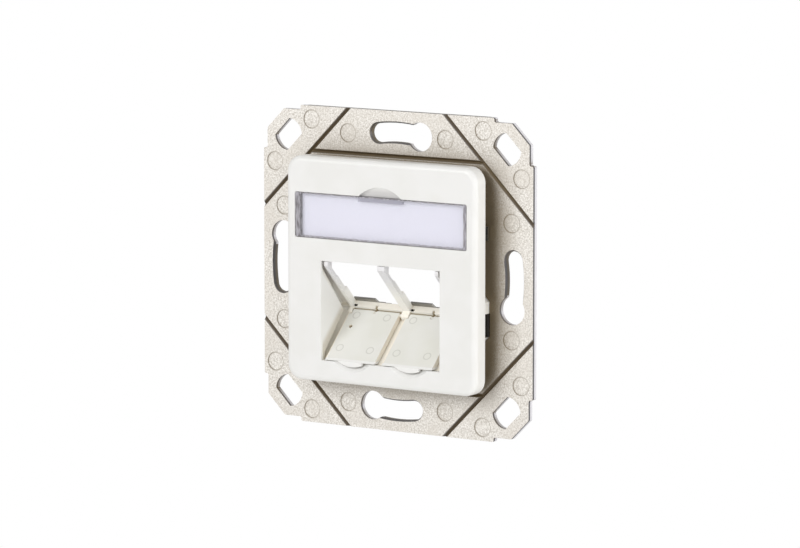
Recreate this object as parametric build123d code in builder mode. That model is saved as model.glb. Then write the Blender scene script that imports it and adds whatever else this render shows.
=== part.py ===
from math import atan2, cos, degrees, radians, sin, sqrt
import os

from build123d import *

os.makedirs("parts", exist_ok=True)

# Frame: X to the right, Z up, the viewer on the -Y side. The origin is the middle of the
# support frame's back face, which lies on the wall.

# Support frame
frame_size = 71.0
frame_thickness = 1.5
window_margin = 4.0
window_radius = 2.5
corner_step = 1.0
corner_step_from = 10.0
corner_chamfer = 4.5
outline_radius = 0.4
slot_inset = 4.7
slot_width = 4.2
slot_bevel = 0.35
slot_bevel_depth = 0.5
slot_head_radius = 3.2
slot_head_across = 6.2
slot_tip_across = 7.1
corner_hole_inset = 6.7
corner_hole_radius = 3.6
corner_hole_flats = 4.7
corner_turn = 45
groove_width = 1.0
groove_depth = 0.55
diagonal_groove_inset = 22.8
cross_groove_gap = 0.5
ejector_mark_radius = 2.05
ejector_mark_depth = 0.08
ejector_marks = [(12.8, 5.5), (22.6, 3.0)]
notch_depth = 3.45
notch_top = -4.7
notch_bottom = -12.4
notch_overlap = 1.0

# Cover plate
plate_size = 50.0
plate_corner_radius = 3.5
plate_edge_radius = 1.3
plate_standoff = 2.7
plate_depth = 3.8
plate_wall = 1.5
opening_half_width = 15.65
opening_height = 22.15
opening_foot = 4.9
cheek_wall = 1.2

# Label field
label_inset = 2.4
label_height = 10.1
label_gap = 4.9
label_edge_radius = 0.4
label_cover_thickness = 0.9
label_clearance = 0.1
paper_end_gap = 0.95
paper_offset = 0.1
paper_side_gap = 0.3
paper_thickness = 0.2
paper_gap = 0.06
label_floor = 0.8
label_hook_slot = 0.9
label_hook_inset = 0.8
nail_chord = 11.5
nail_rise = 2.2
nail_depth = 0.85
nail_rim = 0.12
nail_lip = 1.1
nail_lip_depth = 0.3

# V-shaped recess, seen along X: the port face rises forward from the vertex and the flap face
# falls forward from it, both at 45 degrees
vertex_depth = 4.2

# Ports
port_pitch = 15.1
port_width = 13.13
side_bar_width = 0.9
sill_height = 0.4
sill_pocket_width = 1.1
sill_pocket_middle = -0.35
sill_pocket_length = 0.7
sill_slit_depth = 0.8
bar_thickness_low = 1.6
bar_thickness_mid = 1.05
bar_thickness_top = 0.7
bar_step_low = 5.5
bar_step_top = 10.0
bar_top_wall = 0.6
lip_setback = 0.4
lip_clearance = 0.15

# Dust flaps
flap_width = 13.1
flap_shift = -0.65
flap_thickness = 1.2
flap_gap = 0.15
flap_end_clearance = 0.2
pin_radius = 0.4
pin_clearance = 0.05
pin_length = 0.7
ear_radius = 0.8
tab_half_chord = 3.8
tab_right = 2.55
tab_drop = 1.1
tab_thickness = 0.8
flap_edge_clearance = 0.15
flap_hole_radius = 0.45
flap_hole_place = (-4.95, 5.2)
hinge_slot_across = -0.45
hinge_slot_width = 0.7
hinge_slot_length = 1.3
scoop_half_chord = 5.0
scoop_drop = 2.1
scoop_taper = 1.3

# Side cheeks of the port opening, given by distances along the two faces of the recess
cheek_gap_top = 0.2
cheek_gap_low = 1.6
cheek_vertex_rise = 0.8
cheek_foot_rise = 0.1
cheek_lip = 0.55

# Holder behind the plate
bed_thickness = 1.2
flange_gap = 1.0
flange_thickness = 1.6
collar_wall = 1.4
collar_clearance = 0.35
collar_rise = 2.95
collar_bottom_wall = 1.4
collar_floor_drop = 0.2
cheek_groove_depth = 0.8
lug_clearance = 0.25
upper_lug_height = 2.6
lower_lug_from = 0.05
lower_lug_to = 0.6
peg_radius = 0.7
peg_clearance = 0.05
peg_rise = 0.3
peg_places = [-11.5, 0.0, 11.5]
peg_drop = 1.4

# Sheet-metal pieces
sheet = 0.4
spring_half_width = 14.9
spring_top_drop = 0.3
spring_bottom_drop = 2.4
arm_width = 4.0
arm_places = [-7.0, 7.0]
arm_turn_reach = 6.6
arm_foot = 1.2
bend_radius = 0.6
tongue_top = 1.4
tongue_left = -7.1
tongue_right = -0.6
tongue_slope = 0.4
step_top = 0.2
step_right = 1.1
clip_height = 10.3
clip_width = 3.0
clip_standout = 1.8
clip_lip = 0.9
clip_rise = 4.2
clip_bend_radius = 0.3
catch_inset = 0.2
catch_gap = 0.05
catch_depth = 0.6
catch_return = 0.9

# Worked out from the sizes above
frame_half = frame_size / 2
frame_window = plate_size - 2 * window_margin
slot_mid_radius = frame_half - slot_inset
notch_reach = frame_window / 2 + notch_depth
lug_bottom = notch_bottom - lower_lug_to * notch_depth
opening_bottom = opening_foot - plate_size / 2
opening_top = opening_bottom + opening_height
label_middle = opening_top + label_gap + label_height / 2
label_width = plate_size - 2 * label_inset
paper_width = label_width - 2 * paper_end_gap
paper_height = label_height - 2 * paper_side_gap
flange_size = plate_size - 2 * plate_wall - 2 * flange_gap
slant = sqrt(0.5)
frame_front = -frame_thickness
vertex_y = frame_front + vertex_depth
skirt_back = frame_front - plate_standoff
plate_front = skirt_back - plate_depth
plate_inside = plate_front + plate_wall
vertex_height = opening_bottom + vertex_y - plate_front
hinge_reach = flap_thickness / 2 + flap_gap
bed_top = flap_thickness + flap_gap
port_half = port_width / 2
middle_bar_width = port_pitch - port_width
recess_half_width = port_pitch / 2 + port_half + side_bar_width
lip_front = plate_front + lip_setback
collar_half_width = opening_half_width + cheek_wall + collar_clearance + collar_wall
collar_front = plate_inside
collar_top = opening_top + collar_rise
flange_front = frame_front - flange_thickness


def on_recess(along_flap, along_port):
    """The (y, z) of a point given by its distances from the vertex down the flap face
    and up the port face."""
    return (
        vertex_y - (along_flap + along_port) * slant,
        vertex_height + (along_port - along_flap) * slant,
    )


def up_port_at(y, along_flap=0.0):
    """How far up the port face a point at this y lies, at this distance down the flap face."""
    return (vertex_y - y) / slant - along_flap


hinge_y, hinge_z = on_recess(hinge_reach, -flap_thickness / 2)


def facing(y):
    """A plane across Y whose normal points at the viewer; its local axes are X and Z."""
    return Plane(origin=(0, y, 0), x_dir=(1, 0, 0), z_dir=(0, -1, 0))


# Support frame
with BuildSketch() as corner_hole:
    Circle(corner_hole_radius)
    Rectangle(corner_hole_flats, 2 * corner_hole_radius, mode=Mode.INTERSECT)

with BuildSketch() as frame_outline:
    core = frame_size - 2 * corner_step
    Rectangle(core, core)
    chamfer(frame_outline.vertices(), corner_chamfer)
    Rectangle(frame_size, frame_size - 2 * corner_step_from)
    Rectangle(frame_size - 2 * corner_step_from, frame_size)
    fillet(frame_outline.vertices(), outline_radius)

with BuildSketch() as window_notch:
    run = notch_depth + notch_overlap
    with BuildLine():
        Polyline(
            (notch_reach - run, notch_top + run),
            (notch_reach, notch_top),
            (notch_reach, notch_bottom),
            (notch_reach - run, notch_bottom - run),
            close=True,
        )
    make_face()

with BuildPart() as support_frame:
    with BuildSketch(facing(0)):
        add(frame_outline.sketch)
        RectangleRounded(frame_window, frame_window, window_radius, mode=Mode.SUBTRACT)
        add(window_notch.sketch, mode=Mode.SUBTRACT)
        add(window_notch.sketch.mirror(Plane.YZ), mode=Mode.SUBTRACT)
    extrude(amount=frame_thickness)
    # Keyhole slots for the box screws, one on each side
    with BuildSketch(facing(0)):
        head_turn = slot_head_across / slot_mid_radius
        tip_turn = (slot_tip_across - slot_bevel - slot_width / 2) / slot_mid_radius
        with PolarLocations(0, 4):
            with BuildLine(mode=Mode.PRIVATE) as slot_line:
                CenterArc((0, 0), slot_mid_radius, 90 - degrees(head_turn), degrees(head_turn + tip_turn))
            SlotArc(slot_line.edges()[0], slot_width)
            with Locations((slot_head_across, sqrt(slot_mid_radius**2 - slot_head_across**2))):
                Circle(slot_head_radius)
    extrude(amount=frame_thickness, mode=Mode.SUBTRACT)
    # Bevel along the front of each slot
    with BuildSketch(facing(frame_front)):
        with PolarLocations(0, 4):
            SlotArc(slot_line.edges()[0], slot_width + 2 * slot_bevel)
    bevel_turn = degrees(atan2(slot_bevel, slot_bevel_depth))
    extrude(amount=-slot_bevel_depth, taper=bevel_turn, mode=Mode.SUBTRACT)
    # Corner holes with two flats
    with BuildSketch(facing(0)):
        with PolarLocations((frame_half - corner_hole_inset) * sqrt(2), 4, start_angle=corner_turn):
            add(corner_hole.sketch)
    extrude(amount=frame_thickness, mode=Mode.SUBTRACT)
    # Break-off grooves across the corners and along the top and bottom
    groove_sum = frame_size - diagonal_groove_inset
    corner_run = (frame_size - groove_sum) / sqrt(2) + groove_width
    cross_height = plate_size / 2 + cross_groove_gap
    quarters = [corner_turn + 90 * quarter for quarter in range(4)]
    grooves = [(groove_sum / sqrt(2), turn, corner_run) for turn in quarters]
    grooves += [(cross_height, turn, groove_sum - cross_height) for turn in (90, 270)]
    for reach, turn, half_run in grooves:
        outward = Vector(cos(radians(turn)), 0, sin(radians(turn)))
        along = Vector(-outward.Z, 0, outward.X)
        middle = outward * reach + Vector(0, frame_front, 0)
        with BuildSketch(Plane(origin=middle, x_dir=outward, z_dir=along)):
            with BuildLine():
                Polyline((-groove_width / 2, 0), (groove_width / 2, 0), (0, groove_depth), close=True)
            make_face()
        extrude(amount=half_run, both=True, mode=Mode.SUBTRACT)
    # Ejector marks
    with BuildSketch(facing(frame_front)):
        marks = []
        for across, inset in ejector_marks:
            up = frame_half - inset
            for first, second in ((across, up), (up, across)):
                for side in (-1, 1):
                    for rise in (-1, 1):
                        marks.append((side * first, rise * second))
        with Locations(*marks):
            Circle(ejector_mark_radius)
    extrude(amount=-ejector_mark_depth, mode=Mode.SUBTRACT)

support_frame.part.label = "support_frame"
export_step(support_frame.part, "parts/support_frame.step")

# Cover plate
scoop_radius = (scoop_half_chord**2 + scoop_drop**2) / (2 * scoop_drop)
scoop_middle = opening_bottom - scoop_drop + scoop_radius
nail_radius = (nail_chord**2 / 4 + nail_rise**2) / (2 * nail_rise)
nail_middle = label_middle + label_height / 2 + nail_rise - nail_radius
nail_top = nail_middle + nail_radius
nail_tilt = degrees(atan2(nail_depth - nail_rim, nail_rise))
label_pocket = label_cover_thickness + paper_gap + paper_thickness
cheek_front = plate_front + cheek_lip
cheek_top = on_recess(cheek_gap_top, up_port_at(cheek_front, cheek_gap_top))
cheek_vertex = on_recess(cheek_gap_low, cheek_vertex_rise)
cheek_foot_reach = (vertex_y - plate_inside) / slant - cheek_foot_rise
cheek_bottom = on_recess(cheek_foot_reach, cheek_foot_rise)

with BuildPart() as cover_plate:
    with BuildSketch(facing(skirt_back)):
        RectangleRounded(plate_size, plate_size, plate_corner_radius)
    extrude(amount=plate_depth)
    fillet(cover_plate.faces().sort_by(Axis.Y)[0].edges(), plate_edge_radius)
    with BuildSketch(facing(skirt_back)):
        hollow = plate_size - 2 * plate_wall
        RectangleRounded(hollow, hollow, plate_corner_radius - plate_wall)
    extrude(amount=plate_depth - plate_wall, mode=Mode.SUBTRACT)
    # Floor of the label field, thicker than the plate's wall
    with BuildSketch(facing(plate_front + label_pocket + label_floor)):
        with Locations((0, label_middle)):
            Rectangle(plate_size - 2 * plate_wall, label_height + 2 * plate_wall)
    extrude(amount=label_pocket + label_floor - plate_edge_radius)
    with BuildSketch(facing(plate_front)):
        with Locations((0, label_middle)):
            RectangleRounded(label_width, label_height, label_edge_radius)
    extrude(amount=-label_pocket, mode=Mode.SUBTRACT)
    with BuildSketch(facing(plate_front + label_pocket)):
        with Locations(*[(side * (label_width - label_hook_slot) / 2, label_middle)
                         for side in (-1, 1)]):
            Rectangle(label_hook_slot, label_height - 2 * label_hook_inset)
    extrude(amount=-label_floor, mode=Mode.SUBTRACT)
    # Dish above the label for a fingernail, deepest at the label
    nail_floor = Plane(origin=(0, plate_front + nail_rim, nail_top), x_dir=(1, 0, 0), z_dir=(0, -1, 0))
    with BuildSketch(nail_floor.rotated((nail_tilt, 0, 0))):
        with Locations((0, -nail_radius)):
            Circle(nail_radius)
        with Locations((0, -2 * nail_rise - plate_size / 2)):
            Rectangle(plate_size, plate_size, mode=Mode.SUBTRACT)
    extrude(amount=nail_depth, mode=Mode.SUBTRACT)
    # Port opening with a finger scoop below each flap
    with BuildSketch(facing(plate_front)):
        with Locations((0, (opening_top + opening_bottom) / 2)):
            Rectangle(2 * opening_half_width, opening_top - opening_bottom)
    extrude(amount=-plate_wall, mode=Mode.SUBTRACT)
    for side in (-1, 1):
        with BuildSketch(facing(plate_front)):
            with Locations((side * port_pitch / 2, scoop_middle)):
                Circle(scoop_radius)
        with BuildSketch(facing(plate_inside)):
            with Locations((side * port_pitch / 2, scoop_middle)):
                Circle(scoop_radius - scoop_taper)
        loft(mode=Mode.SUBTRACT)
    # Side cheeks that follow the recess
    for side in (-1, 1):
        with BuildSketch(Plane.YZ.offset(side * (opening_half_width + cheek_wall / 2))):
            with BuildLine():
                Polyline(
                    (cheek_front, opening_top),
                    (plate_inside, opening_top),
                    (plate_inside, cheek_bottom[1]),
                    (cheek_front, cheek_bottom[1]),
                    close=True,
                )
            make_face()
        extrude(amount=cheek_wall / 2, both=True, mode=Mode.SUBTRACT)
        with BuildSketch(Plane.YZ.offset(side * (opening_half_width + cheek_wall / 2))):
            with BuildLine():
                Polyline(cheek_top, cheek_vertex, cheek_bottom, (cheek_front, cheek_bottom[1]),
                         close=True)
            make_face()
        extrude(amount=cheek_wall / 2, both=True)

cover_plate.part.label = "cover_plate"
export_step(cover_plate.part, "parts/cover_plate.step")

# Clear cover of the label, with a lip for a fingernail and a snap hook at each end
with BuildPart() as label_window:
    with BuildSketch(facing(plate_front + label_cover_thickness)):
        with Locations((0, label_middle)):
            RectangleRounded(label_width - 2 * label_clearance, label_height - 2 * label_clearance,
                             label_edge_radius)
    extrude(amount=label_cover_thickness)
    with BuildSketch(facing(plate_front)):
        with Locations((0, label_middle + (label_height - nail_lip) / 2 - label_clearance)):
            Rectangle(nail_chord, nail_lip)
    extrude(amount=-nail_lip_depth, mode=Mode.SUBTRACT)
    hook_length = label_height - 2 * label_hook_inset - 2 * label_clearance
    hook_width = label_hook_slot - 2 * label_clearance
    with BuildSketch(facing(plate_front + label_cover_thickness)):
        with Locations(*[(side * (label_width - label_hook_slot) / 2, label_middle)
                         for side in (-1, 1)]):
            Rectangle(hook_width, hook_length)
    extrude(amount=-(paper_gap + paper_thickness + label_floor))

label_window.part.label = "label_window"
export_step(label_window.part, "parts/label_window.step")

with BuildPart() as label_strip:
    with BuildSketch(facing(plate_front + label_pocket)):
        with Locations((paper_offset, label_middle)):
            Rectangle(paper_width, paper_height)
    extrude(amount=paper_thickness)

label_strip.part.label = "label_strip"
export_step(label_strip.part, "parts/label_strip.step")

# Holder: bars, sill, bed and hinge ears in one moulding with its collar and flange
ear_place = port_pitch / 2 + port_half
bed_front = on_recess(up_port_at(collar_front, -bed_top), -bed_top)
bed_back_drop = bed_top + bed_thickness
collar_floor = bed_front[1] - collar_floor_drop
bed_join = on_recess((vertex_height - collar_floor) / slant - bed_back_drop, -bed_back_drop)
bar_back_y = collar_front + bar_top_wall
lip_top = opening_top - lip_clearance
shelf_underside = collar_top - collar_wall
lug_top = notch_bottom - lower_lug_from * notch_depth
lug_reach = notch_reach - lug_clearance
lug_root = frame_window / 2 - lug_clearance
lug_set = sqrt(2) * lug_clearance


def port_back_at(along_flap):
    """Where the back of the bars at this distance meets the upright wall above it."""
    return on_recess(along_flap, up_port_at(bar_back_y, along_flap))


def bar_profile():
    """Outline of a port bar seen along X, its back stepped thinner towards the top."""
    return (
        on_recess(0, 0),
        on_recess(0, up_port_at(lip_front)),
        (lip_front, lip_top),
        (collar_front, lip_top),
        (collar_front, collar_top),
        (bar_back_y, collar_top),
        port_back_at(-bar_thickness_top),
        on_recess(-bar_thickness_top, bar_step_top),
        on_recess(-bar_thickness_mid, bar_step_top),
        on_recess(-bar_thickness_mid, bar_step_low),
        on_recess(-bar_thickness_low, bar_step_low),
        on_recess(-bar_thickness_low, 0),
    )


def web_profile():
    """Outline of the web behind a side cheek, set back from the port face."""
    return (
        on_recess(-cheek_groove_depth, 0),
        on_recess(-cheek_groove_depth, up_port_at(collar_front, -cheek_groove_depth)),
        (collar_front, collar_top),
        (bar_back_y, collar_top),
        port_back_at(-bar_thickness_low),
        on_recess(-bar_thickness_low, 0),
    )


with BuildPart() as module_holder:
    # Sill, bed and the collar's bottom wall
    with BuildSketch(Plane.YZ) as bed_profile:
        with BuildLine():
            Polyline(
                on_recess(0, sill_height),
                on_recess(0, -bed_top),
                bed_front,
                (collar_front, collar_floor - collar_bottom_wall),
                (flange_front, collar_floor - collar_bottom_wall),
                (flange_front, collar_floor),
                bed_join,
                on_recess(-bar_thickness_low, -bed_back_drop),
                on_recess(-bar_thickness_low, sill_height),
                close=True,
            )
        make_face()
        fillet(bed_profile.vertices().sort_by(Axis.X)[-1], bend_radius - sheet / 2)
    extrude(amount=collar_half_width, both=True)
    # Port bars: the middle one, one beside each outer edge, and thinner webs behind the cheeks
    bars = [(0, middle_bar_width, bar_profile())]
    web_width = collar_half_width - recess_half_width
    for side in (-1, 1):
        bars.append((side * (recess_half_width - side_bar_width / 2), side_bar_width, bar_profile()))
        bars.append((side * (recess_half_width + web_width / 2), web_width, web_profile()))
    for across, width, profile in bars:
        with BuildSketch(Plane.YZ.offset(across)):
            with BuildLine():
                Polyline(*profile, close=True)
            make_face()
        extrude(amount=width / 2, both=True)
    # Collar and flange
    with BuildSketch(facing(flange_front)):
        collar_height = collar_top - collar_floor + collar_bottom_wall
        with Locations((0, collar_top - collar_height / 2)):
            Rectangle(2 * collar_half_width, collar_height)
        with Locations((0, (shelf_underside + collar_floor) / 2)):
            Rectangle(2 * (collar_half_width - collar_wall), shelf_underside - collar_floor,
                      mode=Mode.SUBTRACT)
    extrude(amount=flange_front - collar_front)
    with BuildSketch(facing(frame_front)):
        RectangleRounded(flange_size, flange_size, window_radius)
        with Locations((0, (shelf_underside + collar_floor) / 2)):
            Rectangle(2 * (collar_half_width - collar_wall), shelf_underside - collar_floor,
                      mode=Mode.SUBTRACT)
    extrude(amount=flange_thickness)
    # Lugs that locate the holder in the window's side notches
    for side in (-1, 1):
        with BuildSketch(facing(0)):
            with BuildLine():
                Polyline(
                    (side * lug_root, notch_top + notch_reach - lug_root - lug_set),
                    (side * lug_reach, notch_top + notch_reach - lug_reach - lug_set),
                    (side * lug_reach, notch_top - upper_lug_height),
                    (side * lug_root, notch_top - upper_lug_height),
                    close=True,
                )
            make_face()
            with BuildLine():
                Polyline(
                    (side * lug_root, lug_top),
                    (side * (notch_reach + lug_top - notch_bottom - lug_set), lug_top),
                    (side * (notch_reach + lug_bottom - notch_bottom - lug_set), lug_bottom),
                    (side * lug_root, lug_bottom),
                    close=True,
                )
            make_face()
        extrude(amount=-flange_front)
    # Hinge ears with their bearing holes
    ears = [(0, middle_bar_width)]
    for side in (-1, 1):
        ears.append((side * (recess_half_width - side_bar_width / 2), side_bar_width))
    for across, width in ears:
        with BuildSketch(Plane.YZ.offset(across)):
            with Locations((hinge_y, hinge_z)):
                Circle(ear_radius)
            with BuildLine():
                ear_top = ear_radius - flap_thickness / 2
                ear_front = hinge_reach + ear_radius
                Polyline(
                    on_recess(0, ear_top),
                    on_recess(hinge_reach, ear_top),
                    on_recess(hinge_reach, -flap_thickness / 2),
                    on_recess(ear_front, -flap_thickness / 2),
                    on_recess(ear_front, -bed_top),
                    on_recess(0, -bed_top),
                    close=True,
                )
            make_face()
        extrude(amount=width / 2, both=True)
    with BuildSketch(Plane.YZ):
        with Locations((hinge_y, hinge_z)):
            Circle(pin_radius + pin_clearance)
    extrude(amount=recess_half_width, both=True, mode=Mode.SUBTRACT)
    # Oval hole down through the left end of each sill
    sill_top = Plane(origin=(0, *on_recess(0, sill_height)), x_dir=(1, 0, 0), z_dir=(0, -1, 1))
    with BuildSketch(sill_top):
        for side in (-1, 1):
            hole_middle = side * port_pitch / 2 - port_half + sill_pocket_width / 2
            with Locations((hole_middle, -sill_pocket_middle)):
                Ellipse(sill_pocket_width / 2, sill_pocket_length / 2)
    extrude(amount=-sill_height - bed_back_drop - bed_thickness, mode=Mode.SUBTRACT)
    # Slit in the sill's foot behind each flap's root slot
    for side in (-1, 1):
        with BuildSketch(Plane.YZ.offset(side * port_pitch / 2 + hinge_slot_across)):
            with BuildLine():
                Polyline(
                    on_recess(0, sill_height),
                    on_recess(0, -flap_thickness),
                    on_recess(-sill_slit_depth, -flap_thickness),
                    on_recess(-sill_slit_depth, sill_height),
                    close=True,
                )
            make_face()
        extrude(amount=hinge_slot_width / 2, both=True, mode=Mode.SUBTRACT)
    # Pegs that hold the ground spring
    port_back = Plane(origin=(0, *on_recess(-bar_thickness_low, 0)), x_dir=(1, 0, 0), z_dir=(0, 1, 1))
    with BuildSketch(port_back):
        with Locations(*[(across, peg_drop) for across in peg_places]):
            Circle(peg_radius)
    extrude(amount=sheet + peg_rise)

module_holder.part.label = "module_holder"
export_step(module_holder.part, "parts/module_holder.step")

# Dust flaps, lying open
flap_left = flap_shift - flap_width / 2
flap_right = flap_shift + flap_width / 2
root_left = -port_half + flap_end_clearance
wide_from = hinge_reach + ear_radius + flap_end_clearance
flap_tip = opening_bottom + flap_edge_clearance
tab_radius = (tab_half_chord**2 + tab_drop**2) / (2 * tab_drop)
tab_front = vertex_y - vertex_height + flap_tip


def flap_point_at(height, depth):
    """Where a plane this far below the flap's face meets a height."""
    return on_recess((vertex_height - height) / slant - depth, -depth)


def flap_section(start):
    """Outline of the flap seen along X, from a distance down its face to its level tip."""
    return (
        on_recess(start, 0),
        flap_point_at(flap_tip, 0),
        flap_point_at(flap_tip, flap_thickness),
        on_recess(start, -flap_thickness),
    )


def make_flap(middle, has_hole):
    """A flap with its hinge at the vertex, its inner face up, for the port at this X."""
    with BuildPart() as flap:
        for start, left in ((hinge_reach, root_left), (wide_from, flap_left)):
            with BuildSketch(Plane.YZ.offset(middle + left)):
                with BuildLine():
                    Polyline(*flap_section(start), close=True)
                make_face()
            extrude(amount=flap_right - left)
        with BuildSketch(Plane.YZ.offset(middle + root_left)):
            with Locations((hinge_y, hinge_z)):
                Circle(flap_thickness / 2)
        extrude(amount=flap_right - root_left)
        # Slot in the root, then the hinge pins
        flap_face = Plane(origin=(middle, vertex_y, vertex_height), x_dir=(-1, 0, 0), z_dir=(0, -1, 1))
        with BuildSketch(flap_face):
            with Locations((-hinge_slot_across, 0)):
                Rectangle(hinge_slot_width, 2 * hinge_slot_length)
        extrude(amount=-flap_thickness, mode=Mode.SUBTRACT)
        with BuildSketch(Plane.YZ.offset(middle)):
            with Locations((hinge_y, hinge_z)):
                Circle(pin_radius)
        extrude(amount=port_half + pin_length, both=True)
        # Upright finger tab below the tip
        with BuildSketch(facing(tab_front)):
            with Locations((middle, flap_tip - tab_drop + tab_radius)):
                Circle(tab_radius)
            with Locations((middle + tab_right + tab_radius, flap_tip)):
                Rectangle(2 * tab_radius, 4 * tab_radius, mode=Mode.SUBTRACT)
            with Locations((middle, flap_tip + tab_radius)):
                Rectangle(2 * tab_radius, 2 * tab_radius, mode=Mode.SUBTRACT)
        extrude(amount=-tab_thickness)
        if has_hole:
            with BuildSketch(flap_face):
                with Locations((-flap_hole_place[0], flap_hole_place[1])):
                    Circle(flap_hole_radius)
            extrude(amount=-flap_thickness, mode=Mode.SUBTRACT)
    return flap.part


for name, side in (("dust_flap_left", -1), ("dust_flap_right", 1)):
    dust_flap = make_flap(side * port_pitch / 2, side < 0)
    dust_flap.label = name
    export_step(dust_flap, f"parts/{name}.step")

# Ground spring: a strip behind the sill with a tongue behind each port and two arms that reach
# the frame's window
strip_back = -bar_thickness_low - sheet / 2
arm_back = -bed_back_drop - sheet / 2
arm_turn = on_recess(arm_turn_reach, arm_back)
foot_height = -frame_window / 2 + sheet / 2
with BuildPart() as ground_spring:
    with BuildSketch(port_back):
        with Locations((0, (spring_bottom_drop + spring_top_drop) / 2)):
            Rectangle(2 * spring_half_width, spring_bottom_drop - spring_top_drop)
        for side in (-1, 1):
            with BuildLine():
                port = side * port_pitch / 2
                Polyline(
                    (port + tongue_left, spring_bottom_drop),
                    (port + tongue_left, -sill_height),
                    (port + tongue_left + tongue_slope, -tongue_top),
                    (port + tongue_right - tongue_slope, -tongue_top),
                    (port + tongue_right, -step_top),
                    (port + step_right, -step_top),
                    (port + step_right, spring_bottom_drop),
                    close=True,
                )
            make_face()
        with Locations(*[(across, peg_drop) for across in peg_places]):
            Circle(peg_radius + peg_clearance, mode=Mode.SUBTRACT)
    extrude(amount=sheet)
    for across in arm_places:
        with BuildSketch(Plane.YZ.offset(across)):
            with BuildLine():
                FilletPolyline(
                    on_recess(strip_back, 0),
                    on_recess(strip_back, arm_back),
                    arm_turn,
                    (arm_turn[0], foot_height),
                    (arm_turn[0] - arm_foot, foot_height),
                    radius=bend_radius,
                )
            trace(line_width=sheet)
        extrude(amount=arm_width / 2, both=True)

ground_spring.part.label = "ground_spring"
export_step(ground_spring.part, "parts/ground_spring.step")

# Spring catches between the lugs, one in each notch of the frame's window
catch_top = notch_top - upper_lug_height - catch_gap
catch_bottom = lug_top + catch_gap
catch_middle = lug_reach - sheet / 2
for name, side in (("frame_catch_left", -1), ("frame_catch_right", 1)):
    with BuildPart() as frame_catch:
        with BuildSketch(Plane.XY.offset((catch_top + catch_bottom) / 2)):
            with BuildLine():
                FilletPolyline(
                    (side * (frame_window / 2 + catch_inset), frame_front + sheet / 2),
                    (side * catch_middle, frame_front + sheet / 2),
                    (side * catch_middle, catch_depth),
                    (side * (catch_middle - catch_return), catch_depth),
                    radius=clip_bend_radius,
                )
            trace(line_width=sheet)
        extrude(amount=(catch_top - catch_bottom) / 2, both=True)
    frame_catch.part.label = name
    export_step(frame_catch.part, f"parts/{name}.step")

# Spring clips between the holder's flange and the plate's skirt
clip_middle = flange_size / 2 + sheet / 2
clip_reach = flange_size / 2 + clip_standout
for name, side in (("plate_clip_left", -1), ("plate_clip_right", 1)):
    with BuildPart() as plate_clip:
        with BuildSketch(Plane.XY.offset(clip_height)):
            with BuildLine():
                FilletPolyline(
                    (side * clip_middle, frame_front - clip_rise),
                    (side * clip_middle, frame_front - sheet / 2),
                    (side * clip_reach, frame_front - sheet / 2),
                    (side * clip_reach, frame_front - clip_lip),
                    radius=clip_bend_radius,
                )
            trace(line_width=sheet)
        extrude(amount=clip_width / 2, both=True)
    plate_clip.part.label = name
    export_step(plate_clip.part, f"parts/{name}.step")
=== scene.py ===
import math

import bmesh
import bpy
from mathutils import Matrix, Vector


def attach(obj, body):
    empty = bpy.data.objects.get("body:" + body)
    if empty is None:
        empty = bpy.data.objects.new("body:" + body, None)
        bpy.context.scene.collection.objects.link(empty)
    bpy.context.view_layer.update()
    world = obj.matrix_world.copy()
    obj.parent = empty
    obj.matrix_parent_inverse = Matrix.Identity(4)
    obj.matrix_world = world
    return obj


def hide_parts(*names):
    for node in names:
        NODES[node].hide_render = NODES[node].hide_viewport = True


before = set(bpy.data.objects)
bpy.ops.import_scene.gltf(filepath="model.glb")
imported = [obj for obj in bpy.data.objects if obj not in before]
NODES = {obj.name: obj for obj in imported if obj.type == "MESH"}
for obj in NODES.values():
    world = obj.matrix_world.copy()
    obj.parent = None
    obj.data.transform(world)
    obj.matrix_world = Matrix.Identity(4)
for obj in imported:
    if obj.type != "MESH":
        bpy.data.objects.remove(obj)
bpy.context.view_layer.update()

MM = 0.001
SLANT = math.sqrt(0.5)

# Support frame, in millimetres as every size down to the materials
FRAME_THICKNESS = 1.5
RELIEF_BACK = -0.85
GROOVE_DIAGONAL = 48.2
GROOVE_WIDTH = 1.0
CROSS_GROOVE = 25.5
EJECTOR_MARKS = ((12.8, 30.0), (22.6, 32.5))
EJECTOR_RADIUS = 2.05
SLOT_HEAD = (6.2, 30.17)
SLOT_HEAD_REACH = 3.5
CORNER_HOLES_FROM = 24.2
OUTER_SIDES_FROM = 33.9
PLATE_SHADE = 9.0

# Cover plate and its label field
PLATE_FRONT = -8.0
LABEL_HALF_WIDTH = 22.5
LABEL_HALF_HEIGHT = 4.95
LABEL_MIDDLE = 12.0
NAIL_HALF = 5.75
OPENING_MIDDLE = -9.0
OPENING_HALF_HEIGHT = 11.1
CHEEK_PLACE = 16.25
CHEEK_HALF = 0.7
CHEEK_GAP_LOW = 1.6
CHEEK_GAP_TOP = 0.2
NARROW_GAP = 2.0

# Recess, ports and flaps
VERTEX_Y = 2.7
VERTEX_HEIGHT = -9.4
PORT_PLACE = 7.55
PORT_PITCH = 2 * PORT_PLACE
PORT_HALF = 6.565
SILL_POCKET = (0.55 - PORT_HALF, -0.35, -3.0)
SILL_POCKET_ROOM = (0.53, 0.345, 3.35)
WEB_OUT_FROM = -0.3
WEB_DOWN_FROM = -0.85
FLAP_LEFT = -7.2
FLAP_MARKS = ((-4.85, 2.1), (3.3, 2.1), (-4.95, 11.25), (3.1, 11.25))
FLAP_MARK_RADIUS = 0.85
TAB_TOP = -19.4

# Sockets of a colour mix whose names repeat: its factor, its two colours and its result
FACTOR, COLOUR_A, COLOUR_B, MIXED = 0, 6, 7, 2


def colour(hex_code):
    """A node colour in linear light from an sRGB hex code."""
    parts = [int(hex_code[i:i + 2], 16) / 255 for i in (1, 3, 5)]
    return [p / 12.92 if p <= 0.04045 else ((p + 0.055) / 1.055) ** 2.4 for p in parts] + [1.0]


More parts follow.
